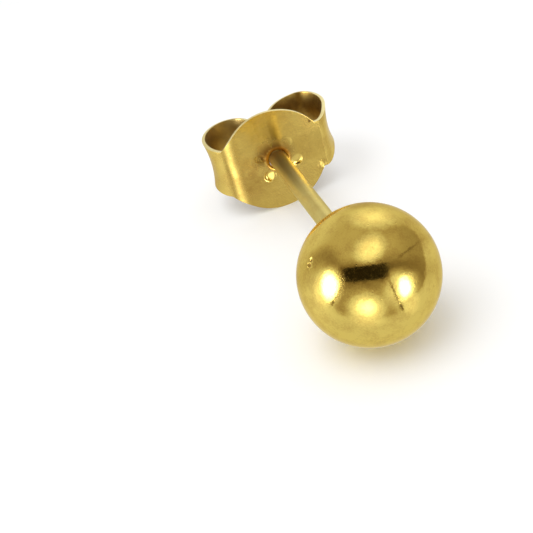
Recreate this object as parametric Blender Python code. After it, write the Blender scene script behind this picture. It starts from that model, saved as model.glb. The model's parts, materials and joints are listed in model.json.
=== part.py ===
"""Ball stud earring: a ball soldered to a straight post, and the butterfly back that slides on the post.

It lies on a flat surface as it rests by itself, on the ball and on the lower edge of the butterfly's
plate, so its post dips slightly towards the back. Metres, +Z up, the ball in front (-Y). The origin is on
the surface, in the middle of the footprint.

Both pieces are made in the stud's own frame and then laid down with it: there the origin is the ball's
centre, +Y runs along the post towards its tip, +X along the butterfly's wings and +Z up.
"""
import math

import bmesh
import bpy
import numpy as np
from mathutils import Vector

MM = 0.001

# Ball, post and the solder between them
BALL_D = 5.0 * MM
POST_D = 0.75 * MM
SOLDER_FILLET = 0.25 * MM
TIP_ROUNDING = 0.3 * MM
TIP_SHOW = 0.05 * MM

# Butterfly back: where it sits, its sheet, and its plate
EAR_GAP = 7.9 * MM
SHEET = 0.14 * MM
PLATE_D = 4.4 * MM
PLATE_OFFSET = -0.1 * MM
WING_WIDTH = 2.12 * MM
HOLE_CLEARANCE = 0.1 * MM
COUNTERSINK_WIDTH = 0.14 * MM
COUNTERSINK_DEPTH = 0.05 * MM

# Punched dimples on a ring round the hole
DIMPLE_FROM_HOLE = 0.325 * MM
DIMPLE_D = 0.42 * MM
DIMPLE_DEPTH = 0.06 * MM
DIMPLE_ANGLES = [math.radians(degrees) for degrees in (-20.0, 51.0, 160.0, -129.0)]

# The rolled wings: span across both, depth behind the plate, and how far their cut edges flare outwards
WING_SPAN = 5.3 * MM
WING_DEPTH = 3.15 * MM
WING_FLARE = 0.12 * MM
GRIP_CLEARANCE = 0.04 * MM

# Each wing's root and section, as shares. The corners of the wing's root lie just outside the disc of the plate
# (corner_share of its radius from its middle), and the sheet starts to bend at flat_share of the radius. Then
# reach, crown_x and tuck_x are shares of half the span, the others of the depth: the sheet goes round its widest
# point (reach, belly), in a bend that is an ellipse at power 2, squarer above it and creased below it, over its
# rearmost point (crown_x, crown), comes forward against the post (at grip) and tucks in towards (tuck_x, tuck).
# From the root to its widest point the strip gets narrower (narrow_share) and climbs (rise_share), both as
# shares of half its width.
WINGS = {
    "left": {"side": -1, "corner_share": 1.109612489, "flat_share": 0.77, "bend_power": 2.4,
             "narrow_share": 0.0, "rise_share": 0.0,
             "reach_share": 0.95, "belly_share": 0.48, "crown_x_share": 0.51, "crown_share": 0.95,
             "grip_share": 0.62, "tuck_x_share": 0.42, "tuck_share": 0.36},
    "right": {"side": 1, "corner_share": 1.0080568, "flat_share": 0.91, "bend_power": 1.6,
              "narrow_share": 0.13, "rise_share": 0.16,
              "reach_share": 1.05, "belly_share": 0.58, "crown_x_share": 0.76, "crown_share": 1.0,
              "grip_share": 0.48, "tuck_x_share": 0.44, "tuck_share": 0.22},
}
TUCK_END_SHARE = 0.75

# Finish of the gold: colour and roughness
POLISHED_GOLD = (0.83, 0.64, 0.24)
POLISHED_ROUGHNESS = 0.12
SATIN_GOLD = (0.76, 0.6, 0.26)
SATIN_ROUGHNESS = 0.3

# Fineness of the solids
TURNED_SIDES = 32
BALL_RINGS = 12
FILLET_RINGS = 4
TIP_RINGS = 4
ROOT_COLUMNS = 8
ARC_SPOKES = 5
EDGE_SPOKES = 2
WING_ROWS = 36
SPOKE_SHARES = (0.0, 0.04, 0.09, 0.14, 0.19, 0.24, 0.3, 0.42, 0.56, 0.68, 0.8, 0.9, 1.0)
ARC_STEPS = 60
SLOPE_STEP = 0.01 * MM
MERGE_DISTANCE = 0.001 * MM
SHARP_ANGLE = math.radians(40)

# Sizes that follow
BALL_R = BALL_D / 2
POST_R = POST_D / 2
PLATE_R = PLATE_D / 2
PLATE_Y = BALL_R + EAR_GAP
TIP_Y = PLATE_Y + WING_DEPTH + WING_FLARE + TIP_SHOW
HOLE_R = POST_R + HOLE_CLEARANCE
DIMPLE_RING_R = HOLE_R + DIMPLE_FROM_HOLE
ROOT_HALF = WING_WIDTH / 2


def clear_scene():
    for obj in list(bpy.data.objects):
        bpy.data.objects.remove(obj, do_unlink=True)


def gold(name, colour, roughness):
    """A yellow gold material with the given colour and polish."""
    material = bpy.data.materials.new(name)
    material.use_nodes = True
    shader = material.node_tree.nodes["Principled BSDF"]
    shader.inputs["Base Color"].default_value = (*colour, 1.0)
    shader.inputs["Metallic"].default_value = 1.0
    shader.inputs["Roughness"].default_value = roughness
    return material


def new_object(name, bm, material, parent):
    """Put a bmesh into a named, smooth-shaded object under its parent."""
    mesh = bpy.data.meshes.new(name)
    bm.to_mesh(mesh)
    bm.free()
    mesh.shade_smooth()
    mesh.set_sharp_from_angle(angle=SHARP_ANGLE)
    obj = bpy.data.objects.new(name, mesh)
    bpy.context.scene.collection.objects.link(obj)
    obj.data.materials.append(material)
    obj.parent = parent
    return obj


def quarter(centre, across, along, steps, end=1.0, power=2.0):
    """Points of the first share of a quarter ellipse, centre + across cos t + along sin t, less its start.
    A power above 2 makes it squarer."""
    t = np.linspace(0.0, end, steps + 1)[1:, None] * math.pi / 2
    cosine = np.clip(np.cos(t), 0.0, 1.0) ** (2 / power)
    sine = np.clip(np.sin(t), 0.0, 1.0) ** (2 / power)
    return np.array(centre) + np.array(across) * cosine + np.array(along) * sine


def stud_profile():
    """The turned outline as (distance along the post's line, radius), from the ball's front to the tip."""
    root_r = POST_R + SOLDER_FILLET
    root_angle = math.asin(root_r / BALL_R)
    front = quarter((0, 0), (-BALL_R, 0), (0, BALL_R), BALL_RINGS)
    back_share = 1.0 - root_angle / (math.pi / 2)
    back = quarter((0, 0), (0, BALL_R), (BALL_R, 0), BALL_RINGS - 1, end=back_share)
    root_y = back[-1][0]
    fillet_end = root_y + SOLDER_FILLET
    fillet = quarter((fillet_end, root_r), (-SOLDER_FILLET, 0), (0, -SOLDER_FILLET), FILLET_RINGS)
    shoulder = [(TIP_Y - TIP_ROUNDING, POST_R)]
    tip = quarter((TIP_Y - TIP_ROUNDING, 0), (0, POST_R), (TIP_ROUNDING, 0), TIP_RINGS)
    return np.vstack([[(-BALL_R, 0.0)], front, back, fillet, shoulder, tip])


def make_ball_and_post(parent, material):
    """Turn the profile round the post's line. A line of corners runs along the bottom, under the ball."""
    bm = bmesh.new()
    verts = [bm.verts.new((0, along, -radius)) for along, radius in stud_profile()]
    edges = [bm.edges.new(pair) for pair in zip(verts, verts[1:])]
    bmesh.ops.spin(bm, geom=verts + edges, cent=(0, 0, 0), axis=(0, 1, 0), angle=2 * math.pi,
                   steps=TURNED_SIDES, use_merge=True)
    bmesh.ops.remove_doubles(bm, verts=bm.verts, dist=MERGE_DISTANCE)
    bmesh.ops.recalc_face_normals(bm, faces=bm.faces)
    return new_object("ball_and_post", bm, material, parent)


def wing_section(wing):
    """The outer face's path from the plate's centre to the wing's end, as (x, depth behind the plate)."""
    half_span = WING_SPAN / 2
    flat = wing["flat_share"] * PLATE_R
    reach = wing["reach_share"] * half_span
    belly = wing["belly_share"] * WING_DEPTH
    crown_x = wing["crown_x_share"] * half_span
    crown = wing["crown_share"] * WING_DEPTH
    grip_x = POST_R + GRIP_CLEARANCE
    grip = wing["grip_share"] * WING_DEPTH
    tuck_x = wing["tuck_x_share"] * half_span
    tuck = wing["tuck_share"] * WING_DEPTH
    return np.vstack([
        [(0.0, 0.0), (flat, 0.0)],
        quarter((flat, belly), (0, -belly), (reach - flat, 0), ARC_STEPS, power=wing["bend_power"]),
        quarter((crown_x, belly), (reach - crown_x, 0), (0, crown - belly), ARC_STEPS),
        quarter((crown_x, grip), (0, crown - grip), (grip_x - crown_x, 0), ARC_STEPS),
        quarter((tuck_x, grip), (grip_x - tuck_x, 0), (0, tuck - grip), ARC_STEPS, end=TUCK_END_SHARE),
    ])


class Roll:
    """Carries the flat blank, with s along the strip and b across it, onto the rolled wing of one side."""

    def __init__(self, wing):
        self.side = wing["side"]
        corner = wing["corner_share"] * PLATE_R
        self.root = math.sqrt(corner ** 2 - ROOT_HALF ** 2) + self.side * PLATE_OFFSET
        self.narrow = wing["narrow_share"]
        self.rise = wing["rise_share"] * ROOT_HALF
        self.path = wing_section(wing)
        steps = np.hypot(*np.diff(self.path, axis=0).T)
        self.length = np.concatenate([[0.0], np.cumsum(steps)])
        self.end = self.length[-1]
        widest = np.argmax(self.path[:, 0])
        self.widest = self.length[widest]

    def at(self, s):
        return np.array([np.interp(s, self.length, self.path[:, k]) for k in (0, 1)])

    def place(self, s, b, dent=0.0):
        """The point of the outer face at (s, b), pushed back by dent, with the cut edges flared out."""
        here = self.at(s)
        tangent = self.at(min(s + SLOPE_STEP, self.end)) - self.at(s - SLOPE_STEP)
        tangent = tangent / np.hypot(*tangent)
        outward = np.array([tangent[1], -tangent[0]])
        ramp = min(max((s - self.root) / (self.widest - self.root), 0.0), 1.0)
        ramp = ramp * ramp * (3 - 2 * ramp)
        flare = WING_FLARE * ramp * (b / ROOT_HALF) ** 2
        x, depth = here + outward * (flare - dent)
        return Vector((self.side * x, depth, b * (1 - self.narrow * ramp) + self.rise * ramp))


def dent_depth(s, b):
    """How far the plate is pushed back at (s, b): the countersink at the hole and the dimples round it."""
    from_hole = math.hypot(s, b) - HOLE_R
    dent = 0.0
    if from_hole < COUNTERSINK_WIDTH:
        dent = COUNTERSINK_DEPTH * (1 - from_hole / COUNTERSINK_WIDTH) ** 2
    for angle in DIMPLE_ANGLES:
        centre = (DIMPLE_RING_R * math.cos(angle), DIMPLE_RING_R * math.sin(angle))
        off = math.hypot(s - centre[0], b - centre[1]) / (DIMPLE_D / 2)
        if off < 1.0:
            dent += DIMPLE_DEPTH * (1 - off ** 2) ** 2
    return dent


def plate_outline(rolls):
    """The blank's outline round the plate, anticlockwise from the right wing's lower root corner. A straight
    edge runs from each root corner to the disc that it touches, and one corner of the disc is at its foot."""
    across = np.linspace(-ROOT_HALF, ROOT_HALF, ROOT_COLUMNS + 1)
    touch = {}
    for side, roll in rolls.items():
        corner = (side * roll.root - PLATE_OFFSET, ROOT_HALF)
        swing = math.acos(PLATE_R / math.hypot(*corner))
        touch[side] = math.atan2(corner[1], corner[0]) + side * swing
    angles = np.concatenate([np.linspace(touch[1], math.pi / 2, ARC_SPOKES + 1),
                             np.linspace(math.pi / 2, touch[-1], ARC_SPOKES + 1)[1:]])
    disc = [(PLATE_OFFSET + PLATE_R * math.cos(a), PLATE_R * math.sin(a)) for a in angles]
    left_corner = (-rolls[-1].root, ROOT_HALF)
    edge = [tuple(p) for p in np.linspace(disc[-1], left_corner, EDGE_SPOKES + 2)[1:-1]]
    right = [(rolls[1].root, b) for b in across]
    upper = disc + edge
    left = [(-rolls[-1].root, -b) for b in across]
    lower = [(s, -b) for s, b in reversed(upper)]
    return right, upper, left, lower


def make_butterfly_back(parent, material):
    """The stamped sheet: a plate of spokes round the hole, and a grid for each wing from its root on."""
    rolls = {wing["side"]: Roll(wing) for wing in WINGS.values()}
    bm = bmesh.new()

    def plate_point(s, b):
        side = -1 if s < 0 else 1
        return bm.verts.new(rolls[side].place(abs(s), b, dent_depth(s, b)))

    right, upper, left, lower = plate_outline(rolls)
    outline = right + upper + left + lower
    spokes = []
    for s, b in outline:
        reach = math.hypot(s, b)
        rays = [(HOLE_R + (reach - HOLE_R) * share) / reach for share in SPOKE_SHARES]
        spokes.append([plate_point(s * ray, b * ray) for ray in rays])
    for here, after in zip(spokes, spokes[1:] + spokes[:1]):
        for k in range(len(SPOKE_SHARES) - 1):
            bm.faces.new((here[k], here[k + 1], after[k + 1], after[k]))

    roots = {1: spokes[:ROOT_COLUMNS + 1]}
    opposite = len(right + upper)
    roots[-1] = spokes[opposite:opposite + ROOT_COLUMNS + 1]
    across = np.linspace(-ROOT_HALF, ROOT_HALF, ROOT_COLUMNS + 1)
    for side, root in roots.items():
        row = [spoke[-1] for spoke in root]
        for s in np.linspace(rolls[side].root, rolls[side].end, WING_ROWS + 1)[1:]:
            new_row = [bm.verts.new(rolls[side].place(s, side * b)) for b in across]
            for k in range(ROOT_COLUMNS):
                bm.faces.new((row[k], new_row[k], new_row[k + 1], row[k + 1]))
            row = new_row

    bm.normal_update()
    obj = new_object("butterfly_back", bm, material, parent)
    wall = obj.modifiers.new("sheet", "SOLIDIFY")
    wall.thickness = SHEET
    wall.offset = -1.0
    wall.use_even_offset = True
    obj.location = (0, PLATE_Y, 0)
    return obj


def lay_down(stud, pieces):
    """Tilt the stud until ball and plate touch the surface, then centre its footprint on the origin."""
    lever = PLATE_Y + SHEET
    dip = math.asin(BALL_R / math.hypot(lever, PLATE_R)) - math.atan2(PLATE_R, lever)
    stud.rotation_euler = (-dip, 0, 0)
    bpy.context.view_layer.update()
    depsgraph = bpy.context.evaluated_depsgraph_get()
    corners = []
    for obj in pieces:
        mesh = obj.evaluated_get(depsgraph).to_mesh()
        corners += [obj.matrix_world @ vert.co for vert in mesh.vertices]
    corners = np.array(corners)
    low = corners.min(axis=0)
    high = corners.max(axis=0)
    middle = (low + high) / 2
    stud.location = (-middle[0], -middle[1], -low[2])
    bpy.context.view_layer.update()


def main():
    clear_scene()
    stud = bpy.data.objects.new("stud_line", None)
    bpy.context.scene.collection.objects.link(stud)
    polished = gold("polished_gold", POLISHED_GOLD, POLISHED_ROUGHNESS)
    satin = gold("satin_gold", SATIN_GOLD, SATIN_ROUGHNESS)
    pieces = [make_ball_and_post(stud, polished), make_butterfly_back(stud, satin)]
    lay_down(stud, pieces)


main()
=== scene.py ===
# %% [markdown]
# # Ball stud earring
#
# A small yellow gold ear stud: a polished ball on a straight post, and the rolled butterfly back that holds
# it behind the ear lobe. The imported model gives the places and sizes. This lesson dresses it: it makes a
# finer skin for the turned stud and for the rolled sheet, gives each its gold, and lights them as small
# jewellery is lit, in a white tent with a few lamps round it.

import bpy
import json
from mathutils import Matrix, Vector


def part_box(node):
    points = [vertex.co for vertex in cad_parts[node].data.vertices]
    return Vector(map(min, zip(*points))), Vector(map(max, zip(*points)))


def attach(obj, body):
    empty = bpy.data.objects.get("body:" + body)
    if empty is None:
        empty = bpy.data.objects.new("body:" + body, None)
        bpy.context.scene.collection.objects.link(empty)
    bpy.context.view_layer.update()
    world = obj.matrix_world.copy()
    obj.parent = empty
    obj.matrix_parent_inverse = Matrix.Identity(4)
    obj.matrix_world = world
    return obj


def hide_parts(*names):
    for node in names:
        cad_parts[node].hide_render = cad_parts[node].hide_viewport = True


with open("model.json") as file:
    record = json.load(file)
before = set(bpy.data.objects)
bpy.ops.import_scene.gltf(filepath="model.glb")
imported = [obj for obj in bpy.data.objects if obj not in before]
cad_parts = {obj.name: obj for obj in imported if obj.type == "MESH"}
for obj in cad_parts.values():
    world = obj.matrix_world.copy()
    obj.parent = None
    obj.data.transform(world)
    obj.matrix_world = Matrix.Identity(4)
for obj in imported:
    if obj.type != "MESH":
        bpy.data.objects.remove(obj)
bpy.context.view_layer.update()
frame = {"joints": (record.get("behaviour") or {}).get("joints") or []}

# %% Modules and the unit
import json
import math

import bmesh
import bpy
import numpy as np
from mathutils import Matrix

MM = 0.001
print("one millimetre is", MM, "Blender units")

# %% [markdown]
# ## The stud's own frame
#
# The stud lies on the table on its ball and on the lower edge of the butterfly's plate, so its post dips a
# little. Everything on it is round the post's line or square to it, which makes the ball's centre and that
# line the natural place to measure from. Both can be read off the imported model: the ball fills the width of
# its node, and the joint on which the back slides runs along the post.

# %% Find the ball's centre and the post's line
stud_low, stud_high = [np.array(corner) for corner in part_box("ball_and_post")]
BALL_R = (stud_high[0] - stud_low[0]) / 2
ball_centre = (stud_low + stud_high) / 2
ball_centre[1] = stud_low[1] + BALL_R
post_line = np.array(frame["joints"][0]["axis"])
post_line = post_line / np.linalg.norm(post_line)
wing_line = np.array([1.0, 0.0, 0.0])
plate_up = np.cross(wing_line, post_line)
dip = math.asin(-post_line[2])
print("ball radius", round(BALL_R / MM, 3), "mm, post dips", round(math.degrees(dip), 2), "degrees")


# %% Lay points of the stud's frame into the model
def lay_down(points):
    """The ball's centre, plus x, y and z times the directions along the wings, the post and up the plate."""
    return ball_centre + points @ np.array([wing_line, post_line, plate_up])


print("the post's line meets the ball's back at", np.round(lay_down(np.array([0, BALL_R, 0])) / MM, 3), "mm")

# %% [markdown]
# ## Surfaces as grids
#
# A turned stud and a rolled sheet are both surfaces of two parameters. Numpy works out all their points at
# once, and a face is four neighbours in the grid. The parameters also make the UV map, in millimetres, so a
# scratch or a roll mark can follow the metal.


# %% Turn a grid of points into a mesh
MERGE_DISTANCE = 0.0005 * MM


def grid_faces(rows, columns, first=0):
    """The four corners of every cell of a grid of rows by columns, numbered row by row."""
    number = np.arange(rows * columns).reshape(rows, columns) + first
    corners = [number[:-1, :-1], number[1:, :-1], number[1:, 1:], number[:-1, 1:]]
    return np.stack(corners, axis=-1).reshape(-1, 4)


def skin(name, points, faces, uv, closed):
    """A smooth mesh object from points, faces and one UV pair a point. Seams and poles are merged, and a
    closed skin has its faces turned outwards."""
    mesh = bpy.data.meshes.new(name)
    mesh.from_pydata(points.tolist(), [], faces.tolist())
    layer = mesh.uv_layers.new(name="metal_mm")
    layer.data.foreach_set("uv", uv[faces.reshape(-1)].reshape(-1))
    bm = bmesh.new()
    bm.from_mesh(mesh)
    bmesh.ops.remove_doubles(bm, verts=bm.verts, dist=MERGE_DISTANCE)
    if closed:
        bmesh.ops.recalc_face_normals(bm, faces=bm.faces)
    bm.to_mesh(mesh)
    bm.free()
    mesh.shade_smooth()
    piece = bpy.data.objects.new(name, mesh)
    bpy.context.scene.collection.objects.link(piece)
    print(name, "has", len(mesh.vertices), "points and", len(mesh.polygons), "faces")
    return piece


def quarter(centre, across, along, steps, end=1.0, power=2.0):
    """Points of the first share of a quarter ellipse: centre + across cos t + along sin t, less its start.
    Sine and cosine are raised to 2 / power: above 2 it is squarer than an ellipse, below 2 more pointed."""
    t = np.linspace(0.0, end, steps + 1)[1:, None] * math.pi / 2
    cosine = np.clip(np.cos(t), 0.0, 1.0) ** (2 / power)
    sine = np.clip(np.sin(t), 0.0, 1.0) ** (2 / power)
    return np.array(centre) + np.array(across) * cosine + np.array(along) * sine


def eased(share):
    """A share from 0 to 1 with a soft start and end: three times its square less twice its cube."""
    return share * share * (3 - 2 * share)


print("a grid of 3 by 4 points has", len(grid_faces(3, 4)), "faces")

# %% [markdown]
# ## The ball and its post
#
# A goldsmith makes the ball from two pressed halves, burnishes it bright and solders a drawn wire to it. The
# two are one piece afterwards, with a small fillet of solder in the corner. The shape is round about the
# post's line all the way, so one profile is carried round it: a half circle, the fillet's quarter circle, the
# wire, and the filed, rounded tip. The ball gets many rings because its mirror shows every flat.

# %% The stud's outline
POST_R = 0.375 * MM
SOLDER_FILLET = 0.25 * MM
TIP_ROUNDING = 0.3 * MM
TIP_Y = 13.72 * MM
FRONT_RINGS = 96
BACK_RINGS = 80
FILLET_RINGS = 14
WIRE_RINGS = 24
TIP_RINGS = 16


def stud_outline():
    """(distance along the post's line, radius): half circle of the ball up to the solder, the solder's
    quarter circle, the straight wire, and a quarter ellipse for the tip."""
    root_r = POST_R + SOLDER_FILLET
    root_share = 1.0 - math.asin(root_r / BALL_R) / (math.pi / 2)
    front = quarter((0, 0), (-BALL_R, 0), (0, BALL_R), FRONT_RINGS)
    back = quarter((0, 0), (0, BALL_R), (BALL_R, 0), BACK_RINGS, end=root_share)
    fillet_end = back[-1][0] + SOLDER_FILLET
    fillet = quarter((fillet_end, root_r), (-SOLDER_FILLET, 0), (0, -SOLDER_FILLET), FILLET_RINGS)
    wire = [(y, POST_R) for y in np.linspace(fillet_end, TIP_Y - TIP_ROUNDING, WIRE_RINGS + 1)[1:]]
    tip = quarter((TIP_Y - TIP_ROUNDING, 0), (0, POST_R), (TIP_ROUNDING, 0), TIP_RINGS)
    return np.vstack([[(-BALL_R, 0.0)], front, back, fillet, wire, tip])


outline = stud_outline()
print("the outline has", len(outline), "points and ends", round(outline[-1][0] / MM, 2), "mm behind")

# %% Carry the outline round the post's line
STUD_SIDES = 192


def turned(profile, sides):
    """Point at (i, j): distance along the line from profile i, at its radius, turned by j shares of a
    full circle. The UV pair is the way round at the ball's radius and the distance along it, in mm."""
    turn = np.linspace(0.0, 2 * math.pi, sides + 1)
    along = np.repeat(profile[:, :1], sides + 1, axis=1)
    radius = profile[:, 1:]
    points = np.stack([radius * np.sin(turn), along, -radius * np.cos(turn)], axis=-1)
    uv = np.stack([np.broadcast_to(turn * BALL_R / MM, along.shape), along / MM], axis=-1)
    return points.reshape(-1, 3), uv.reshape(-1, 2)


stud_points, stud_uv = turned(outline, STUD_SIDES)
stud_faces = grid_faces(len(outline), STUD_SIDES + 1)
gold_stud = skin("gold_stud", lay_down(stud_points), stud_faces, stud_uv, closed=True)
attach(gold_stud, "stud")
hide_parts("ball_and_post")

# %% [markdown]
# ## The butterfly back
#
# The back is one pressed strip of thin sheet. Its middle is a round plate with a countersunk hole and four
# punched dimples, and its two ends are rolled back and in, until they press on the post. It is worked out the
# way it is made: a flat blank with s along the strip and b across it, first dented by the punches, and then
# carried onto a rolled path on each side. Handwork shows: no two dimples are alike, the press left a shallow
# step above the hole, the shears nipped one edge, and the right wing is creased where it leaves the plate.

# %% The sizes of the pressed sheet
SHEET = 0.14 * MM
PLATE_R = 2.2 * MM
PLATE_Y = 10.4 * MM
ROOT_HALF = 1.06 * MM
HOLE_R = 0.388 * MM
PLATE_OFFSET = -0.1 * MM
WING_FLARE = 0.12 * MM
print("the disc of the plate is", 2 * PLATE_R / MM, "mm across and the wings", 2 * ROOT_HALF / MM, "mm wide")

# %% The path on which a wing is rolled
HALF_SPAN = 2.65 * MM
WING_DEPTH = 3.15 * MM
GRIP_X = 0.415 * MM
# Each wing: the distance to its root and to where the bend starts, the bend's power and its crease's depth.
# Reach, crown_x and tuck_x are shares of the half span, and belly, crown, grip and tuck are shares of the
# depth. The strip narrows by the share narrow, and climbs by rise.
LEFT_WING = dict(
    side=-1, root=2.3 * MM, flat=1.45 * MM, power=2.8, crease=0.0, reach=0.95, belly=0.48, crown_x=0.51,
    crown=0.95, grip=0.62, tuck_x=0.42, tuck=0.36, narrow=0.0, rise=0.0)
RIGHT_WING = dict(
    side=1, root=1.85 * MM, flat=2.0 * MM, power=1.6, crease=0.012 * MM, reach=1.05, belly=0.58,
    crown_x=0.76, crown=1.0, grip=0.48, tuck_x=0.44, tuck=0.22, narrow=0.13, rise=0.17 * MM)
PATH_STEPS = 500
TUCK_SHARE = 0.75


def rolled_path(wing):
    """(x, depth) from the plate's centre: straight, then four quarter ellipses. The first goes round to the
    widest point, the second over the rearmost, the third forward against the post and the last tucks in.
    Where the bend is creased, its first part, down to the crease's depth, is left out, and the straight part
    runs on to where the rest of the bend points."""
    flat = wing["flat"]
    reach = wing["reach"] * HALF_SPAN
    belly = wing["belly"] * WING_DEPTH
    crown_x = wing["crown_x"] * HALF_SPAN
    crown = wing["crown"] * WING_DEPTH
    grip = wing["grip"] * WING_DEPTH
    tuck_x = wing["tuck_x"] * HALF_SPAN
    tuck = wing["tuck"] * WING_DEPTH
    bend = quarter((flat, belly), (0, -belly), (reach - flat, 0), PATH_STEPS, power=wing["power"])
    bend = bend[bend[:, 1] >= wing["crease"]]
    run, fall = bend[1] - bend[0]
    start = bend[0, 0] - bend[0, 1] * run / fall
    return np.vstack([
        [(0.0, 0.0), (start, 0.0)],
        bend,
        quarter((crown_x, belly), (reach - crown_x, 0), (0, crown - belly), PATH_STEPS),
        quarter((crown_x, grip), (0, crown - grip), (GRIP_X - crown_x, 0), PATH_STEPS),
        quarter((tuck_x, grip), (GRIP_X - tuck_x, 0), (0, tuck - grip), PATH_STEPS, end=TUCK_SHARE),
    ])


def path_length(path):
    """Distance along the path at each of its points."""
    return np.concatenate([[0.0], np.cumsum(np.hypot(*np.diff(path, axis=0).T))])


for wing in (LEFT_WING, RIGHT_WING):
    strip = path_length(rolled_path(wing))[-1]
    print("the strip from the hole to the wing's end is", round(strip / MM, 2), "mm")


# %% Carry the flat blank onto a wing
SLOPE_STEP = 0.02 * MM


def rolled(wing, s, b, dent):
    """The outer face over (s, b): the path's point at s, pushed back by the dent and out by a flare that
    grows with b squared from the wing's root to its widest point. On the way there b narrows and climbs."""
    path = rolled_path(wing)
    length = path_length(path)
    ahead = s + SLOPE_STEP
    behind = s - SLOPE_STEP
    x = np.interp(s, length, path[:, 0])
    depth = np.interp(s, length, path[:, 1])
    slope_x = np.interp(ahead, length, path[:, 0]) - np.interp(behind, length, path[:, 0])
    slope_depth = np.interp(ahead, length, path[:, 1]) - np.interp(behind, length, path[:, 1])
    slope = np.hypot(slope_x, slope_depth)
    widest = length[np.argmax(path[:, 0])]
    share = eased(np.clip((s - wing["root"]) / (widest - wing["root"]), 0.0, 1.0))
    lift = WING_FLARE * share * (b / ROOT_HALF) ** 2 - dent
    across = b * (1 - wing["narrow"] * share) + wing["rise"] * share
    points = [wing["side"] * (x + lift * slope_depth / slope), depth - lift * slope_x / slope, across]
    return np.stack(points, axis=-1) + np.array([0.0, PLATE_Y, 0.0])


there = np.array([4.0, 0.0, 0.0]) * MM
print("4 mm along the right wing the sheet is at", np.round(rolled(RIGHT_WING, *there) / MM, 2), "mm")

# %% The punched dents
COUNTERSINK = 0.15 * MM
COUNTERSINK_DEPTH = 0.06 * MM
DIMPLE_RING_R = 0.8 * MM
DIMPLE_R = 0.28 * MM
DIMPLE_DEPTH = 0.045 * MM
STROKES = [
    # degrees round the hole, strength, and how steeply the floor leans along s and b
    (-20.0, 0.8, (0.05, -0.2)),
    (51.0, 0.35, (0.0, 0.03)),
    (160.0, 0.7, (0.12, 0.22)),
    (-129.0, 1.0, (-0.31, 0.13)),
]
# The step that the press left: it comes up over a band of b, and fades out along s
STEP_HEIGHT = 0.07 * MM
STEP_WIDTH = 0.64 * MM
STEP_START = -0.6 * MM
STEP_RISE = 1.4 * MM
STEP_FADE = (1.2 * MM, 3.2 * MM)
# Where the shears nipped the sheet, beside the lower root corner on the right
NIP_AT = (1.76 * MM, -0.95 * MM)
NIP_R = 0.24 * MM
NIP_LEAN = 0.3


def punched(s, b):
    """Depth of the dents at (s, b). At the hole's edge: one minus the share of the countersink's width,
    squared. At each dimple: a floor that leans, times a smooth edge, one minus the fourth power of the share
    of its radius, squared. Above the hole: a step, the hyperbolic tangent of s. At the nip: a slope to the
    right, times one minus the square of the share of its radius, squared."""
    from_hole = np.hypot(s, b) - HOLE_R
    dent = COUNTERSINK_DEPTH * np.clip(1 - from_hole / COUNTERSINK, 0, 1) ** 2
    for degrees, strength, (lean_s, lean_b) in STROKES:
        off_s = s - DIMPLE_RING_R * math.cos(math.radians(degrees))
        off_b = b - DIMPLE_RING_R * math.sin(math.radians(degrees))
        edge = np.clip(1 - (np.hypot(off_s, off_b) / DIMPLE_R) ** 4, 0, 1) ** 2
        dent = dent + edge * (strength * DIMPLE_DEPTH + lean_s * off_s + lean_b * off_b)
    above = eased(np.clip((b - STEP_START) / STEP_RISE, 0, 1))
    near = eased(np.clip((STEP_FADE[1] - np.abs(s)) / (STEP_FADE[1] - STEP_FADE[0]), 0, 1))
    step = STEP_HEIGHT * np.tanh(s / STEP_WIDTH) * near * above
    nip_s = s - NIP_AT[0]
    nip = np.clip(1 - (nip_s ** 2 + (b - NIP_AT[1]) ** 2) / NIP_R ** 2, 0, 1) ** 2 * NIP_LEAN * nip_s
    return dent + nip - step


for degrees, strength, lean in STROKES:
    stroke_s = DIMPLE_RING_R * math.cos(math.radians(degrees))
    stroke_b = DIMPLE_RING_R * math.sin(math.radians(degrees))
    pushed = float(punched(stroke_s, stroke_b)) / MM
    print("at", degrees, "degrees step and dimple push the sheet back by", round(pushed, 3), "mm")

# %% The plate as a fan of spokes
ROOT_COLUMNS = 28
ARC_COLUMNS = 22
EDGE_COLUMNS = 12
RINGS = 80
RING_CROWDING = 1.25


def half_outline(wing):
    """(s, b) from the top of the disc down to the wing's upper root corner: round the disc to the point where
    the straight edge from the corner touches it, and then along that edge."""
    corner = np.array([wing["side"] * wing["root"], ROOT_HALF])
    from_disc = corner - np.array([PLATE_OFFSET, 0.0])
    swing = math.acos(PLATE_R / np.hypot(*from_disc))
    touch = math.atan2(from_disc[1], from_disc[0]) + wing["side"] * swing
    angle = np.linspace(math.pi / 2, touch, ARC_COLUMNS + 1)
    disc = np.stack([PLATE_OFFSET + PLATE_R * np.cos(angle), PLATE_R * np.sin(angle)], axis=-1)
    return np.vstack([disc, np.linspace(disc[-1], corner, EDGE_COLUMNS + 1)[1:]])


def plate_grid():
    """(s, b) on spokes from the hole's edge to the blank's outline, ring by ring, closer near the hole."""
    b = np.linspace(-ROOT_HALF, ROOT_HALF, ROOT_COLUMNS + 1)[1:-1]
    right_root = np.stack([np.full_like(b, RIGHT_WING["root"]), b], axis=-1)
    left_root = np.stack([np.full_like(b, -LEFT_WING["root"]), -b], axis=-1)
    upper = np.vstack([half_outline(RIGHT_WING)[::-1], half_outline(LEFT_WING)[1:]])
    lower = upper[::-1] * np.array([1.0, -1.0])
    rim = np.vstack([right_root, upper, left_root, lower, right_root[:1]])
    reach = np.hypot(*rim.T)
    share = np.linspace(0.0, 1.0, RINGS + 1)[:, None] ** RING_CROWDING
    ray = (HOLE_R + (reach - HOLE_R) * share) / reach
    return rim[:, 0] * ray, rim[:, 1] * ray


plate_s, plate_b = plate_grid()
dent = punched(plate_s, plate_b)
right_half = rolled(RIGHT_WING, np.abs(plate_s), plate_b, dent)
left_half = rolled(LEFT_WING, np.abs(plate_s), plate_b, dent)
plate_points = np.where(plate_s[..., None] < 0, left_half, right_half)
print("the plate is a grid of", plate_s.shape, "points")

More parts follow.
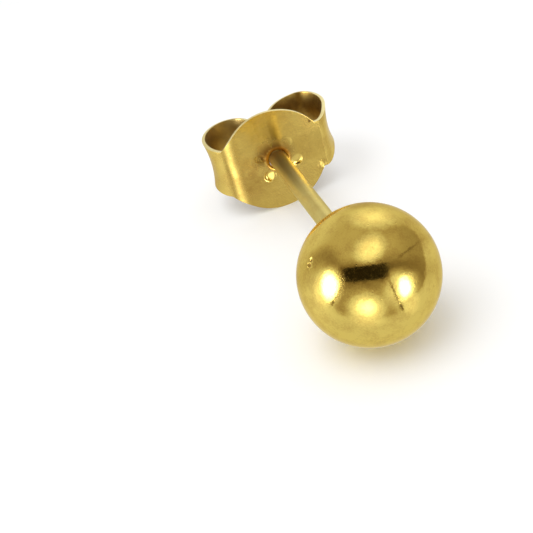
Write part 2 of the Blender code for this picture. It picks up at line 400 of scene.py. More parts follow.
# %% The two wings, from their roots to their tucked ends
WING_ROWS = 260
ROW_CROWDING = 1.5
CREASE_ROWS = np.array([-0.002, 0.002]) * MM


def wing_grid(wing):
    """(s, b) from the root to the end of the strip, row by row, closer at the root, where the bend is sharp,
    with two rows more where it is creased. On the left b runs the other way, so that the faces of both wings
    look outwards."""
    end = path_length(rolled_path(wing))[-1]
    s = wing["root"] + (end - wing["root"]) * np.linspace(0.0, 1.0, WING_ROWS + 1) ** ROW_CROWDING
    if wing["crease"]:
        s = np.union1d(s, rolled_path(wing)[1, 0] + CREASE_ROWS)
    b = np.linspace(-ROOT_HALF, ROOT_HALF, ROOT_COLUMNS + 1) * wing["side"]
    return np.meshgrid(s, b, indexing="ij")


sheet_points = [plate_points.reshape(-1, 3)]
sheet_uv = [np.stack([plate_s, plate_b], axis=-1).reshape(-1, 2) / MM]
sheet_faces = [grid_faces(*plate_s.shape)]
for wing in (RIGHT_WING, LEFT_WING):
    s, b = wing_grid(wing)
    first = sum(len(points) for points in sheet_points)
    sheet_points.append(rolled(wing, s, b, punched(wing["side"] * s, b)).reshape(-1, 3))
    sheet_uv.append(np.stack([wing["side"] * s, b], axis=-1).reshape(-1, 2) / MM)
    sheet_faces.append(grid_faces(*s.shape, first=first))
print("the sheet has", [len(faces) for faces in sheet_faces], "faces on its plate and wings")

# %% Join the sheet and give it its thickness
butterfly_sheet = skin("butterfly_sheet", lay_down(np.vstack(sheet_points)), np.vstack(sheet_faces),
                       np.vstack(sheet_uv), closed=False)
wall = butterfly_sheet.modifiers.new("sheet", "SOLIDIFY")
wall.thickness = SHEET
wall.offset = -1.0
wall.use_even_offset = True
wall.material_offset = 1
wall.material_offset_rim = 2
CUT_ROUNDING = 0.035 * MM
CUT_ANGLE = math.radians(50)
rounding = butterfly_sheet.modifiers.new("rounded cut", "BEVEL")
rounding.width = CUT_ROUNDING
rounding.segments = 3
rounding.limit_method = "ANGLE"
rounding.angle_limit = CUT_ANGLE
rounding.material = 2
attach(butterfly_sheet, "clutch")
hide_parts("butterfly_back")
print("first normal of the plate:", [round(c, 2) for c in butterfly_sheet.data.polygons[0].normal])

# %% [markdown]
# ## Helpers for shader nodes
#
# A material is a small network. These helpers keep its cells short: one adds a node and wires its inputs,
# and the others wrap the kinds of node that are used most. An effect that comes more than once becomes a node
# group with named inputs and outputs.


# %% Add nodes and wire them
def node(tree, kind, inputs=None, **settings):
    """Add a node of this kind with these settings. Each input gets a value, or the output that feeds it."""
    made = tree.nodes.new(kind)
    for key, value in settings.items():
        setattr(made, key, value)
    for key, value in (inputs or {}).items():
        if isinstance(value, bpy.types.NodeSocket):
            tree.links.new(value, made.inputs[key])
        else:
            made.inputs[key].default_value = value
    return made


def calc(tree, operation, *terms):
    """The output of a Math node over the terms."""
    return node(tree, "ShaderNodeMath", dict(enumerate(terms)), operation=operation).outputs[0]


def vector(tree, operation, *terms):
    """The output of a Vector Math node over the terms: its vector, or its value where it has one."""
    made = node(tree, "ShaderNodeVectorMath", dict(enumerate(terms)), operation=operation)
    return made.outputs["Value" if operation in ("DOT_PRODUCT", "LENGTH") else "Vector"]


def ramp(tree, value, start, end, low=0.0, high=1.0):
    """The value carried smoothly from low at start to high at end."""
    return node(tree, "ShaderNodeMapRange", {0: value, 1: start, 2: end, 3: low, 4: high},
                interpolation_type="SMOOTHSTEP").outputs[0]


def blend_values(tree, share, first, second):
    """The first value, going to the second as the share goes to one."""
    return node(tree, "ShaderNodeMix", {0: share, 2: first, 3: second}, data_type="FLOAT").outputs[0]


def blend_colours(tree, share, first, second):
    """The first colour, going to the second as the share goes to one."""
    return node(tree, "ShaderNodeMix", {0: share, 6: first, 7: second}, data_type="RGBA").outputs[2]


def new_group(name, inputs, outputs):
    """A node group with inputs (title, kind, value) and outputs (title, kind): the group, what comes in, and
    where its results go."""
    group = bpy.data.node_groups.new(name, "ShaderNodeTree")
    for title, kind, value in inputs:
        socket = group.interface.new_socket(title, in_out="INPUT", socket_type="NodeSocket" + kind)
        socket.default_value = value
    for title, kind in outputs:
        group.interface.new_socket(title, in_out="OUTPUT", socket_type="NodeSocket" + kind)
    entry = group.nodes.new("NodeGroupInput")
    results = group.nodes.new("NodeGroupOutput")
    print("node group", name, "puts out", ", ".join(title for title, kind in outputs))
    return group, entry.outputs, results.inputs


# %% [markdown]
# ## Wear that both golds share
#
# Worn gold isn't one colour. Skin oil and the copper in the alloy leave it browner in patches, polishing
# leaves it faintly uneven, and years of handling leave hair scratches, small pits and a few nicks. All are
# patterns in space, measured in millimetres in the stud's own frame, so they keep their true size on the
# ball, the post and the sheet.

# %% Group: patches of a second colour
# Tarnish on the ball, the post and the outer face. On the inner face the patches are deeper painted shade,
# and on the cut edge they break up its painted highlight with plain satin gold.
group, given, result = new_group("gold_patches", [
    ("Place", "Vector", (0, 0, 0)), ("Main Colour", "Color", (0.9, 0.7, 0.2, 1)),
    ("Patch Colour", "Color", (0.4, 0.2, 0.05, 1)), ("Patch Size", "Float", 1.0), ("Amount", "Float", 0.2)],
    [("Color", "Color"), ("Mask", "Float")])
per_mm = calc(group, "DIVIDE", 1.0, given["Patch Size"])
patches = node(group, "ShaderNodeTexNoise", {"Vector": given["Place"], "Scale": per_mm, "Detail": 3.0})
fine_scale = calc(group, "MULTIPLY", per_mm, 7.0)
fine = node(group, "ShaderNodeTexNoise", {"Vector": given["Place"], "Scale": fine_scale, "Detail": 2.0})
mottle = calc(group, "ADD", calc(group, "MULTIPLY", patches.outputs[0], 0.65),
              calc(group, "MULTIPLY", fine.outputs[0], 0.35))
mask = calc(group, "MULTIPLY", ramp(group, mottle, 0.4, 0.68), given["Amount"])
group.links.new(mask, result["Mask"])
group.links.new(blend_colours(group, mask, given["Main Colour"], given["Patch Colour"]), result["Color"])
gold_patches = group

# %% Group: hair scratches, pits and the skin of the polish
# How deep a full scratch and a full pit are, and how high the skin of the polish stands, in mm
SCRATCH_DEPTH = 0.0006
PIT_DEPTH = 0.006
SKIN_HEIGHT = 0.01
group, given, result = new_group("handling_wear", [
    ("Place", "Vector", (0, 0, 0)), ("Scratches", "Float", 0.3), ("Pits", "Float", 0.3),
    ("Skin", "Float", 0.3)], [("Height", "Float"), ("Marks", "Float")])


def scratch_layer(turn_x, turn_z, reach):
    """Hair lines: noise squeezed twenty-five times across one direction, kept near its middle value."""
    squeezed = node(group, "ShaderNodeMapping", {
        "Vector": given["Place"], "Rotation": (turn_x, 0.3, turn_z), "Scale": (14.0, 0.55, 14.0)}).outputs[0]
    lines = node(group, "ShaderNodeTexNoise", {"Vector": squeezed, "Scale": 1.0, "Detail": 1.0}).outputs[0]
    off_middle = calc(group, "ABSOLUTE", calc(group, "SUBTRACT", lines, 0.5))
    return ramp(group, off_middle, 0.0, reach, 1.0, 0.0)


hairs = calc(group, "ADD", scratch_layer(0.4, 0.7, 0.012), scratch_layer(-0.9, -0.5, 0.01))
patchy = node(group, "ShaderNodeTexNoise", {"Vector": given["Place"], "Scale": 0.9, "Detail": 1.0})
hairs = calc(group, "MULTIPLY", hairs, ramp(group, patchy.outputs[0], 0.45, 0.65))
cells = node(group, "ShaderNodeTexVoronoi", {"Vector": given["Place"], "Scale": 5.5, "Randomness": 1.0})
lot = node(group, "ShaderNodeSeparateColor", {0: cells.outputs["Color"]}).outputs[0]
chosen = ramp(group, lot, 0.55, 0.95)
pits = calc(group, "MULTIPLY", ramp(group, cells.outputs["Distance"], 0.05, 0.2, 1.0, 0.0), chosen)
peel = node(group, "ShaderNodeTexNoise", {
    "Vector": given["Place"], "Scale": 4.5, "Detail": 4.0, "Roughness": 0.6})
scratch_height = calc(group, "MULTIPLY", hairs, calc(group, "MULTIPLY", given["Scratches"], -SCRATCH_DEPTH))
pit_height = calc(group, "MULTIPLY", pits, calc(group, "MULTIPLY", given["Pits"], -PIT_DEPTH))
peel_height = calc(group, "MULTIPLY", peel.outputs[0], calc(group, "MULTIPLY", given["Skin"], SKIN_HEIGHT))
mark_height = calc(group, "ADD", scratch_height, pit_height)
group.links.new(calc(group, "ADD", mark_height, peel_height), result["Height"])
marks = calc(group, "ADD", calc(group, "MULTIPLY", pits, given["Pits"]),
             calc(group, "MULTIPLY", hairs, given["Scratches"]))
group.links.new(marks, result["Marks"])
handling_wear = group

# %% Group: a ring round the post's line
group, given, result = new_group("ring_round_post", [
    ("Place", "Vector", (0, 0, 0)), ("Radius", "Float", 0.5), ("Width", "Float", 0.2)], [("Mask", "Float")])
flat = vector(group, "MULTIPLY", given["Place"], (1.0, 0.0, 1.0))
off_ring = calc(group, "ABSOLUTE", calc(group, "SUBTRACT", vector(group, "LENGTH", flat), given["Radius"]))
off_share = calc(group, "DIVIDE", off_ring, given["Width"])
group.links.new(ramp(group, off_share, 0.0, 1.0, 1.0, 0.0), result["Mask"])
ring_round_post = group

# %% Group: one nick
group, given, result = new_group("nick_in_metal", [
    ("Place", "Vector", (0, 0, 0)), ("Spot", "Vector", (0, 0, 0)), ("Size", "Float", 0.2)],
    [("Mask", "Float")])
ragged = node(group, "ShaderNodeTexNoise", {"Vector": given["Place"], "Scale": 9.0, "Detail": 2.0})
off_spot = vector(group, "LENGTH", vector(group, "SUBTRACT", given["Place"], given["Spot"]))
off_spot = calc(group, "ADD", calc(group, "DIVIDE", off_spot, given["Size"]), ragged.outputs[0])
group.links.new(ramp(group, off_spot, 0.7, 1.3, 1.0, 0.0), result["Mask"])
nick_in_metal = group


# %% Start a gold material
def new_gold(name, piece):
    """A metal in the piece's next slot, with the place in millimetres in the stud's own frame."""
    material = bpy.data.materials.new(name)
    material.use_nodes = True
    tree = material.node_tree
    shader = tree.nodes["Principled BSDF"]
    shader.inputs["Metallic"].default_value = 1.0
    where = node(tree, "ShaderNodeTexCoord")
    place = node(tree, "ShaderNodeMapping", {
        "Vector": where.outputs["Object"], "Location": ball_centre.tolist(),
        "Rotation": (-dip, 0.0, 0.0), "Scale": (MM, MM, MM)}, vector_type="TEXTURE")
    piece.data.materials.append(material)
    print("material", name, "is slot", len(piece.data.materials) - 1, "of", piece.name)
    return tree, shader, place.outputs[0]


def placed(tree, group, inputs):
    """The outputs of the group, placed in this material with its own values."""
    return node(tree, "ShaderNodeGroup", inputs, node_tree=group).outputs


def bump(tree, height):
    """The normal that a Bump node puts out over a height in millimetres."""
    return node(tree, "ShaderNodeBump", {"Height": height, "Strength": 1.0, "Distance": MM}).outputs[0]


# %% [markdown]
# ## Polished gold: the ball and its post
#
# The ball was burnished to a mirror, and only hair scratches, small pits, two nicks and a faint unevenness
# break it. The post was drawn through a die and left as drawn, so it is duller and paler, with fine lines
# along it, and it turns darker and greener towards the back. Heat dulled the ball round the solder. One
# material covers all of it and goes by the distance along the post, in millimetres from the ball's centre.

# %% Polished gold
POLISHED = (0.88, 0.68, 0.175, 1.0)
BROWNED = (0.55, 0.34, 0.08, 1.0)
DRAWN = (0.8, 0.68, 0.26, 1.0)
POST_BACK_DARKER = (0.45, 0.375, 0.15, 1.0)
GOLD_EDGE = (0.97, 0.88, 0.62, 1.0)
# In mm: the nicks' places and sizes, their depth and the height of the drawn lines, and where along the post
# the heat of soldering dulled the ball, the ball ends, and the post starts to turn darker and greener
NICKS = [((-1.99, -0.37, 1.47), 0.2), ((-1.87, -0.35, 1.62), 0.15)]
NICK_DEPTH = 0.05
DRAWN_HEIGHT = 0.012
HEAT_BEGINS = [(0.2, 1.5), (0.7, 1.4)]
BALL_ENDS = (2.42, 2.6)
DARKENING_BEGINS = (5.6, 8.6)
tree, shader, place = new_gold("polished_gold_skin", gold_stud)
patchwork = placed(tree, gold_patches, {"Place": place, "Main Colour": POLISHED, "Patch Colour": BROWNED,
                                      "Patch Size": 0.5, "Amount": 0.29})
wear = placed(tree, handling_wear, {"Place": place, "Scratches": 0.5, "Pits": 0.5, "Skin": 0.4})
nicks = [placed(tree, nick_in_metal, {"Place": place, "Spot": spot, "Size": size})["Mask"]
         for spot, size in NICKS]
nick = calc(tree, "MAXIMUM", *nicks)
along = node(tree, "ShaderNodeSeparateXYZ", {0: place}).outputs[1]
on_post = ramp(tree, along, *BALL_ENDS)
near_solder = calc(tree, "ADD", *[ramp(tree, along, *band) for band in HEAT_BEGINS])
draw_place = node(tree, "ShaderNodeMapping", {"Vector": place, "Scale": (11.0, 0.22, 11.0)})
draw_lines = node(tree, "ShaderNodeTexNoise", {"Vector": draw_place.outputs[0], "Scale": 1.0, "Detail": 3.0})
# Darker and greener towards the back of the post.
near_back = ramp(tree, along, *DARKENING_BEGINS)
drawn_metal = blend_colours(tree, near_back, DRAWN, POST_BACK_DARKER)
metal = blend_colours(tree, on_post, patchwork["Color"], drawn_metal)
metal = blend_colours(tree, calc(tree, "MULTIPLY", patchwork["Mask"], 0.8), metal, BROWNED)
metal = blend_colours(tree, calc(tree, "MULTIPLY", wear["Marks"], 0.6), metal, BROWNED)
metal = blend_colours(tree, calc(tree, "MULTIPLY", nick, 0.8), metal, BROWNED)
tree.links.new(metal, shader.inputs["Base Color"])
shader.inputs["Specular Tint"].default_value = GOLD_EDGE
ball_rough = calc(tree, "ADD", 0.03, calc(tree, "MULTIPLY", wear["Marks"], 0.12))
ball_rough = calc(tree, "ADD", ball_rough, calc(tree, "MULTIPLY", near_solder, 0.27))
post_rough = calc(tree, "ADD", 0.22, calc(tree, "MULTIPLY", draw_lines.outputs[0], 0.25))
post_rough = calc(tree, "ADD", post_rough, calc(tree, "MULTIPLY", near_back, 0.12))
tree.links.new(blend_values(tree, on_post, ball_rough, post_rough), shader.inputs["Roughness"])
draw_height = calc(tree, "MULTIPLY", draw_lines.outputs[0], calc(tree, "MULTIPLY", on_post, DRAWN_HEIGHT))
nick_height = calc(tree, "MULTIPLY", nick, -NICK_DEPTH)
height = calc(tree, "ADD", calc(tree, "ADD", wear["Height"], draw_height), nick_height)
tree.links.new(bump(tree, height), shader.inputs["Normal"])

# %% [markdown]
# ## Satin gold: the pressed sheet
#
# The sheet was rolled and pressed but never polished by hand. Its outer face is smooth from the rolls and a
# little browner towards the lower left. Its inner face is painted darker and browner, as painted shade inside
# the rolled wings, a little lighter towards the left. Its cut edge is paler and brighter, partly where it
# rubs and partly as a painted highlight along the rims. Round the hole, skin oil has dried to a ragged brown
# ring with a warm orange lip.

# %% The outer face
SATIN = (0.86, 0.645, 0.174, 1.0)
OILED = (0.2, 0.09, 0.015, 1.0)
LIP = (0.72, 0.33, 0.05, 1.0)
# In mm: the nick at the plate's edge, and the way from the stain and from the browner patch on the lower left
# to the post
EDGE_NICK = (1.65, PLATE_Y / MM, 1.2)
STAIN_SHIFT = (0.12, 0.0, -0.1)
BROWN_PATCH_SHIFT = (1.35, 0.0, 0.4)
tree, shader, place = new_gold("satin_gold_outside", butterfly_sheet)
patchwork = placed(tree, gold_patches, {"Place": place, "Main Colour": SATIN, "Patch Colour": BROWNED,
                                      "Patch Size": 0.6, "Amount": 0.45})
wear = placed(tree, handling_wear, {"Place": place, "Scratches": 0.6, "Pits": 0.6, "Skin": 0.6})
axes = node(tree, "ShaderNodeSeparateXYZ", {0: place}).outputs
stain_place = vector(tree, "ADD", place, STAIN_SHIFT)
stain = placed(tree, ring_round_post, {"Place": stain_place, "Radius": 0.45, "Width": 0.64})
ragged = node(tree, "ShaderNodeTexNoise", {
    "Vector": place, "Scale": 3.0, "Detail": 5.0, "Roughness": 0.6}).outputs[0]
stain_mask = calc(tree, "MULTIPLY", stain["Mask"], ramp(tree, ragged, 0.3, 0.46))
stain_mask = calc(tree, "MULTIPLY", stain_mask, ramp(tree, axes["Z"], -0.35, 0.3, 0.12, 1.0))
# Browner towards the lower left of the plate, in a ragged patch.
brown_patch_place = vector(tree, "ADD", place, BROWN_PATCH_SHIFT)
brown_patch = placed(tree, ring_round_post, {"Place": brown_patch_place, "Radius": 0.0, "Width": 1.5})
brown_patch_mask = calc(tree, "MULTIPLY", brown_patch["Mask"], ramp(tree, ragged, 0.25, 0.75, 0.35, 1.0))
lip = placed(tree, ring_round_post, {"Place": place, "Radius": 0.48, "Width": 0.14})
metal = blend_colours(tree, brown_patch_mask, patchwork["Color"], BROWNED)
metal = blend_colours(tree, calc(tree, "MULTIPLY", stain_mask, 0.95), metal, OILED)
metal = blend_colours(tree, calc(tree, "MULTIPLY", lip["Mask"], 0.7), metal, LIP)
edge_nick = placed(tree, nick_in_metal, {"Place": place, "Spot": EDGE_NICK, "Size": 0.16})
metal = blend_colours(tree, edge_nick["Mask"], metal, OILED)
metal = blend_colours(tree, calc(tree, "MULTIPLY", wear["Marks"], 0.5), metal, BROWNED)
tree.links.new(metal, shader.inputs["Base Color"])
shader.inputs["Specular Tint"].default_value = GOLD_EDGE
rough = calc(tree, "ADD", 0.16, calc(tree, "MULTIPLY", patchwork["Mask"], 0.25))
rough = calc(tree, "ADD", rough, calc(tree, "MULTIPLY", stain_mask, 0.25))
rough = calc(tree, "ADD", rough, ramp(tree, axes["X"], -1.9, -1.4, 0.05, 0.0))
tree.links.new(rough, shader.inputs["Roughness"])
tree.links.new(bump(tree, wear["Height"]), shader.inputs["Normal"])

# %% The inner face, in painted shade
# Painted shade: the inner face is a darker, browner copy of the gold, standing in for the shade inside the
# rolled wings. Its patches are deeper painted shade, and it is blended lighter towards the left.
INSIDE_SHADE = (0.54, 0.37, 0.1, 1.0)
SHADOWED = (0.26, 0.14, 0.03, 1.0)
LIGHTER_INSIDE = (0.78, 0.64, 0.3, 1.0)
tree, shader, place = new_gold("satin_gold_inside", butterfly_sheet)
patchwork = placed(tree, gold_patches, {"Place": place, "Main Colour": INSIDE_SHADE, "Patch Colour": SHADOWED,
                                      "Patch Size": 1.2, "Amount": 0.7})
wear = placed(tree, handling_wear, {"Place": place, "Scratches": 0.3, "Pits": 0.2, "Skin": 0.15})
across_plate = node(tree, "ShaderNodeSeparateXYZ", {0: place}).outputs[0]
to_left = ramp(tree, across_plate, 0.5, -1.5, 0.0, 0.5)
metal = blend_colours(tree, to_left, patchwork["Color"], LIGHTER_INSIDE)
tree.links.new(metal, shader.inputs["Base Color"])
rough = calc(tree, "ADD", 0.36, calc(tree, "MULTIPLY", patchwork["Mask"], 0.15))
tree.links.new(rough, shader.inputs["Roughness"])
tree.links.new(bump(tree, wear["Height"]), shader.inputs["Normal"])

# %% The cut edge, partly a painted highlight
# Partly painted highlight: the cut edge gets a paler, brighter gold than the satin, partly rubbed metal and
# partly standing in for the light that the thin rims catch.
RUBBED_CUT_AND_HIGHLIGHT = (1.0, 0.9, 0.5, 1.0)
tree, shader, place = new_gold("satin_gold_cut", butterfly_sheet)
patchwork = placed(tree, gold_patches, {"Place": place, "Main Colour": RUBBED_CUT_AND_HIGHLIGHT, "Patch Colour": SATIN,
                                      "Patch Size": 0.4, "Amount": 0.35})
wear = placed(tree, handling_wear, {"Place": place, "Scratches": 0.6, "Pits": 0.4, "Skin": 0.4})
stain = placed(tree, ring_round_post, {"Place": place, "Radius": 0.4, "Width": 0.5})
metal = blend_colours(tree, calc(tree, "MULTIPLY", stain["Mask"], 0.95), patchwork["Color"], OILED)
tree.links.new(metal, shader.inputs["Base Color"])
rough = calc(tree, "ADD", 0.45, calc(tree, "MULTIPLY", patchwork["Mask"], 0.15))
tree.links.new(rough, shader.inputs["Roughness"])
tree.links.new(bump(tree, wear["Height"]), shader.inputs["Normal"])

# %% [markdown]
# ## Camera
#
# The photograph looks along the post from in front and above, with the world leaning in the picture. The
# camera's direction, the ball's place in the picture and its distance give it.

# %% Place the camera by the ball's pixel
PHOTO_SIDE = 533
FOCAL_PX = 1200
BALL_PX = (369.0, 275.07)
BALL_DEPTH = 41.0846 * MM
AZIMUTH = math.radians(-8.73)
ELEVATION = math.radians(33.37)
LEAN = math.radians(16.15)
SENSOR = 36.0
back = np.array([math.sin(AZIMUTH) * math.cos(ELEVATION), -math.cos(AZIMUTH) * math.cos(ELEVATION),
                 math.sin(ELEVATION)])
level_right = np.array([math.cos(AZIMUTH), math.sin(AZIMUTH), 0.0])
level_up = np.cross(back, level_right)
view_right = math.cos(LEAN) * level_right - math.sin(LEAN) * level_up
view_up = math.sin(LEAN) * level_right + math.cos(LEAN) * level_up
ball_right = (BALL_PX[0] - PHOTO_SIDE / 2) / FOCAL_PX * BALL_DEPTH
ball_up = (PHOTO_SIDE / 2 - BALL_PX[1]) / FOCAL_PX * BALL_DEPTH
eye = ball_centre - view_right * ball_right - view_up * ball_up + back * BALL_DEPTH
camera_data = bpy.data.cameras.new("photo_camera")
camera_data.sensor_fit = "HORIZONTAL"
camera_data.sensor_width = SENSOR
camera_data.lens = SENSOR * FOCAL_PX / PHOTO_SIDE
camera_data.clip_start = 1 * MM
camera_data.clip_end = 10.0
camera = bpy.data.objects.new("photo_camera", camera_data)
bpy.context.scene.collection.objects.link(camera)
turn = Matrix(np.stack([view_right, view_up, back], axis=1).tolist()).to_4x4()
camera.matrix_world = Matrix.Translation(eye.tolist()) @ turn
bpy.context.scene.camera = camera
print("the camera stands at", np.round(eye / MM, 2), "mm")

# %% [markdown]
# ## The light tent
#
# A polished ball shows its whole surroundings, so lighting one means drawing what stands round it. Small
# jewellery is shot in a white tent with lamps outside it: bright soft patches where the lamps shine through,
# dimmer cloth between them with thin dark seams, and a dark gap for the lens with a few glints in it. The
# tent is a world that only reflections see. It is laid out in the mirror picture of the ball: a direction in
# the room is carried to the point of the ball that reflects it towards the camera's place, from -1 to 1
# across the ball and up it. The directions are fixed in the room, so from other sides the ball shows another
# part of the same tent.

# %% Group: one panel of the tent
group, given, result = new_group("tent_panel", [
    ("Place", "Vector", (0, 0, 0)), ("Centre", "Vector", (0, 0, 0)), ("Half Size", "Vector", (1, 1, 1)),
    ("Tilt", "Float", 0.0), ("Edge", "Float", 0.5), ("Squareness", "Float", 0.0)], [("Mask", "Float")])
offset = vector(group, "SUBTRACT", given["Place"], given["Centre"])
tilt_back = calc(group, "MULTIPLY", given["Tilt"], -1.0)
straight = node(group, "ShaderNodeVectorRotate", {"Vector": offset, "Angle": tilt_back},
                rotation_type="Z_AXIS").outputs[0]
share = vector(group, "ABSOLUTE", vector(group, "DIVIDE", straight, given["Half Size"]))
sides = node(group, "ShaderNodeSeparateXYZ", {0: share})
squared = calc(group, "MAXIMUM", sides.outputs[0], sides.outputs[1])
distance = blend_values(group, given["Squareness"], vector(group, "LENGTH", share), squared)
fade_start = calc(group, "SUBTRACT", 1.0, given["Edge"])
fade_end = calc(group, "ADD", 1.0, given["Edge"])
group.links.new(ramp(group, distance, fade_start, fade_end, 1.0, 0.0), result["Mask"])
tent_panel = group

# %% The panels, from the back of the tent to the front
PANELS = [
    # name, centre, half size, tilt in degrees, softness of the edge, squareness, brightness
    ("dim cloth", (-0.03, 0.32), (0.67, 0.55), 52, 0.2, 0.9, 0.53),
    ("dim side", (0.43, 0.18), (0.32, 0.49), 8, 0.05, 0.2, 0.35),
    ("light in the dim side", (0.26, 0.42), (0.16, 0.24), -10, 1.0, 0.0, 0.52),
    ("dim corner", (-0.6, 0.16), (0.17, 0.16), 47, 0.8, 0.0, 0.07),
    ("dim cloth below", (-0.04, -0.35), (0.49, 0.25), -3, 0.17, 0.0, 0.41),
    ("gap's shade", (-0.04, 0.02), (0.6, 0.13), 4, 1.0, 0.5, 0.02),
    ("high window", (0.05, 0.78), (0.23, 0.105), 0, 1.0, 0.0, 1.25),
    ("top lamp", (0.015, 0.35), (0.13, 0.165), -50, 0.8, 0.0, 1.5),
    ("left lamp's cloth", (-0.64, -0.235), (0.17, 0.36), -3, 1.0, 0.0, 0.9),
    ("left lamp", (-0.54, -0.16), (0.12, 0.17), -16, 1.0, 0.0, 2.2),
    ("left bulb", (-0.525, -0.156), (0.095, 0.16), 0, 0.5, 0.0, 9.0),
    ("right lamp's cloth", (0.42, -0.185), (0.19, 0.22), -6, 0.6, 0.4, 1.0),
    ("right lamp", (0.48, -0.18), (0.08, 0.13), 5, 1.0, 0.5, 2.4),
    ("right bulb", (0.475, -0.163), (0.075, 0.12), 5, 0.5, 0.0, 8.0),
    ("right lamp's foot", (0.56, -0.38), (0.085, 0.125), -13, 0.6, 0.2, 1.05),
    ("low lamp", (-0.03, -0.455), (0.175, 0.15), -5, 1.0, 0.0, 1.7),
    ("low bulb", (-0.03, -0.43), (0.09, 0.07), -5, 1.0, 0.0, 3.2),
    ("lens gap", (-0.05, 0.03), (0.31, 0.1), 6.5, 0.22, 0.8, 0.012),
    ("right seam", (0.35, -0.25), (0.2, 0.013), -66, 0.9, 0.5, 0.2),
    ("right seam's end", (0.435, -0.42), (0.05, 0.022), -70, 0.8, 0.3, 0.05),
    ("left seam", (-0.43, -0.275), (0.13, 0.011), 59, 0.9, 0.5, 0.3),
    ("left seam's end", (-0.485, -0.365), (0.035, 0.018), 55, 0.8, 0.3, 0.15),
    ("high seam", (0.52, 0.33), (0.17, 0.011), 37, 0.9, 0.5, 0.16),
]
CLOTH = 0.73
print("the tent has", len(PANELS), "panels on cloth of brightness", CLOTH)

# %% Where a direction shows on the ball
# The normal that mirrors a direction to the eye is the sum of both over its length, which is the square root
# of two plus twice their dot product. The least spread keeps that from zero straight behind the ball.
LEAST_SPREAD = 0.0004
to_eye = eye - ball_centre
to_eye = to_eye / np.linalg.norm(to_eye)
mirror_right = view_right - (view_right @ to_eye) * to_eye
mirror_right = mirror_right / np.linalg.norm(mirror_right)
mirror_up = np.cross(to_eye, mirror_right)
world = bpy.data.worlds.new("light_tent")
world.use_nodes = True
bpy.context.scene.world = world
tent = world.node_tree
tent.nodes.clear()
direction = node(tent, "ShaderNodeTexCoord").outputs["Generated"]
facing = vector(tent, "DOT_PRODUCT", direction, to_eye.tolist())
square = calc(tent, "MULTIPLY_ADD", facing, 2.0, 2.0)
spread = calc(tent, "SQRT", calc(tent, "MAXIMUM", square, LEAST_SPREAD))
across = calc(tent, "DIVIDE", vector(tent, "DOT_PRODUCT", direction, mirror_right.tolist()), spread)
upward = calc(tent, "DIVIDE", vector(tent, "DOT_PRODUCT", direction, mirror_up.tolist()), spread)
picture = node(tent, "ShaderNodeCombineXYZ", {0: across, 1: upward}).outputs[0]
print("the mirror picture faces", np.round(to_eye, 3))

# %% Ripple the picture a little, as the ball isn't quite round
RIPPLE = (0.045, 0.045, 0.0)
uneven = node(tent, "ShaderNodeTexNoise", {
    "Vector": picture, "Scale": 16.0, "Detail": 4.0, "Roughness": 0.7}).outputs["Color"]
ripple = vector(tent, "MULTIPLY", vector(tent, "SUBTRACT", uneven, (0.5, 0.5, 0.5)), RIPPLE)
rippled = vector(tent, "ADD", picture, ripple)
print("the ripple moves a lamp's edge by at most", RIPPLE[0] / 2, "of the ball's radius")

# %% Hang the panels, all but the thin seams on the rippled picture
GLINT = 0.16
glints = node(tent, "ShaderNodeTexNoise", {
    "Vector": rippled, "Scale": 55.0, "Detail": 2.0, "Roughness": 0.6}).outputs[0]
level = CLOTH
for name, centre, half, tilt, edge, squareness, brightness in PANELS:
    if name == "lens gap":
        brightness = ramp(tent, glints, 0.55, 0.75, brightness, GLINT)
    panel = placed(tent, tent_panel, {
        "Place": picture if "seam" in name else rippled, "Centre": (*centre, 0.0),
        "Half Size": (*half, 1.0), "Tilt": math.radians(tilt), "Edge": edge, "Squareness": squareness})
    level = blend_values(tent, panel["Mask"], level, brightness)
print("the panels took", len(tent.nodes), "nodes")

# %% Colour the cloth by its brightness
DARKEST = (0.008, 0.006, 0.004, 1.0)
LIGHTEST = (1.0, 1.0, 0.96, 1.0)
BETWEEN = [(0.05, (0.055, 0.042, 0.026, 1.0)), (0.22, (0.25, 0.19, 0.12, 1.0)),
           (0.5, (0.51, 0.45, 0.34, 1.0)), (0.74, (0.75, 0.745, 0.69, 1.0))]
tint = node(tent, "ShaderNodeValToRGB", {0: level})
tint.color_ramp.elements[0].color = DARKEST
tint.color_ramp.elements[1].color = LIGHTEST
for stop, colour in BETWEEN:
    tint.color_ramp.elements.new(stop).color = colour
print("colours of the cloth:", len(tint.color_ramp.elements), "stops")

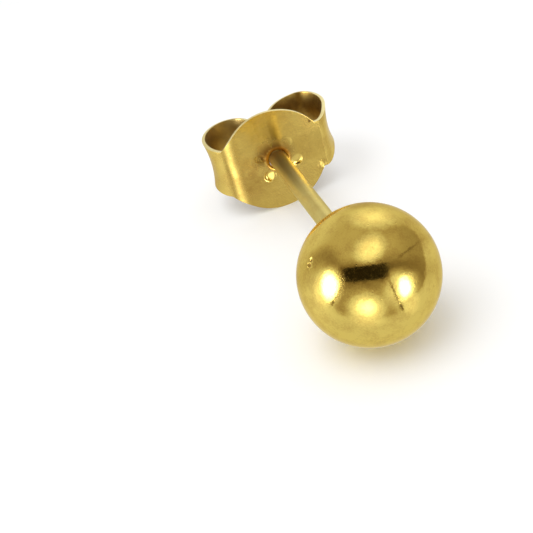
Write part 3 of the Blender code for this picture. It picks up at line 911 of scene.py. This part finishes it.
# %% Only reflections see the tent
ROOM_BRIGHTNESS = 0.92
ray = node(tent, "ShaderNodeLightPath")
lamp_strength = calc(tent, "MAXIMUM", level, 1.0)
tent_light = node(tent, "ShaderNodeBackground", {"Color": tint.outputs[0], "Strength": lamp_strength})
room_light = node(tent, "ShaderNodeBackground", {"Color": (1.0, 1.0, 1.0, 1.0), "Strength": ROOM_BRIGHTNESS})
seen = node(tent, "ShaderNodeMixShader", {0: ray.outputs["Is Glossy Ray"], 1: room_light.outputs[0],
                                          2: tent_light.outputs[0]})
node(tent, "ShaderNodeOutputWorld", {0: seen.outputs[0]})
bpy.context.scene.view_settings.view_transform = "Standard"
print("all but reflections see a plain white room of brightness", ROOM_BRIGHTNESS)

# %% [markdown]
# ## Floor and lamp
#
# The stud lies on plain white paper. One broad lamp above gives it a soft shadow, so that it is seen to touch
# the paper. The gold doesn't show the paper or the lamp, because the tent already holds all that it reflects.

# %% A sheet of white paper
FLOOR_HALF = 1.0
PAPER = (0.93, 0.93, 0.93, 1.0)
floor_data = bpy.data.meshes.new("floor")
floor_corners = [(x * FLOOR_HALF, y * FLOOR_HALF, 0) for x, y in ((-1, -1), (1, -1), (1, 1), (-1, 1))]
floor_data.from_pydata(floor_corners, [], [(0, 1, 2, 3)])
floor = bpy.data.objects.new("floor", floor_data)
bpy.context.scene.collection.objects.link(floor)
paper = bpy.data.materials.new("white_paper")
paper.use_nodes = True
paper_shader = paper.node_tree.nodes["Principled BSDF"]
paper_shader.inputs["Base Color"].default_value = PAPER
paper_shader.inputs["Roughness"].default_value = 0.9
paper_shader.inputs["Specular IOR Level"].default_value = 0.1
floor_data.materials.append(paper)
floor.visible_glossy = False
print("the paper is", 2 * FLOOR_HALF, "m wide")

# %% One broad soft lamp
LAMP_SIDE = 60 * MM
LAMP_PLACE = (-25 * MM, -10 * MM, 70 * MM)
LAMP_TURN = (0.14, -0.34, 0.0)
LAMP_POWER = 0.02
lamp_data = bpy.data.lights.new("soft_lamp", "AREA")
lamp_data.size = LAMP_SIDE
lamp_data.energy = LAMP_POWER
lamp = bpy.data.objects.new("soft_lamp", lamp_data)
bpy.context.scene.collection.objects.link(lamp)
lamp.location = LAMP_PLACE
lamp.rotation_euler = LAMP_TURN
lamp.visible_glossy = False
print("the lamp is", round(LAMP_SIDE / MM), "mm wide and gives", LAMP_POWER, "W")
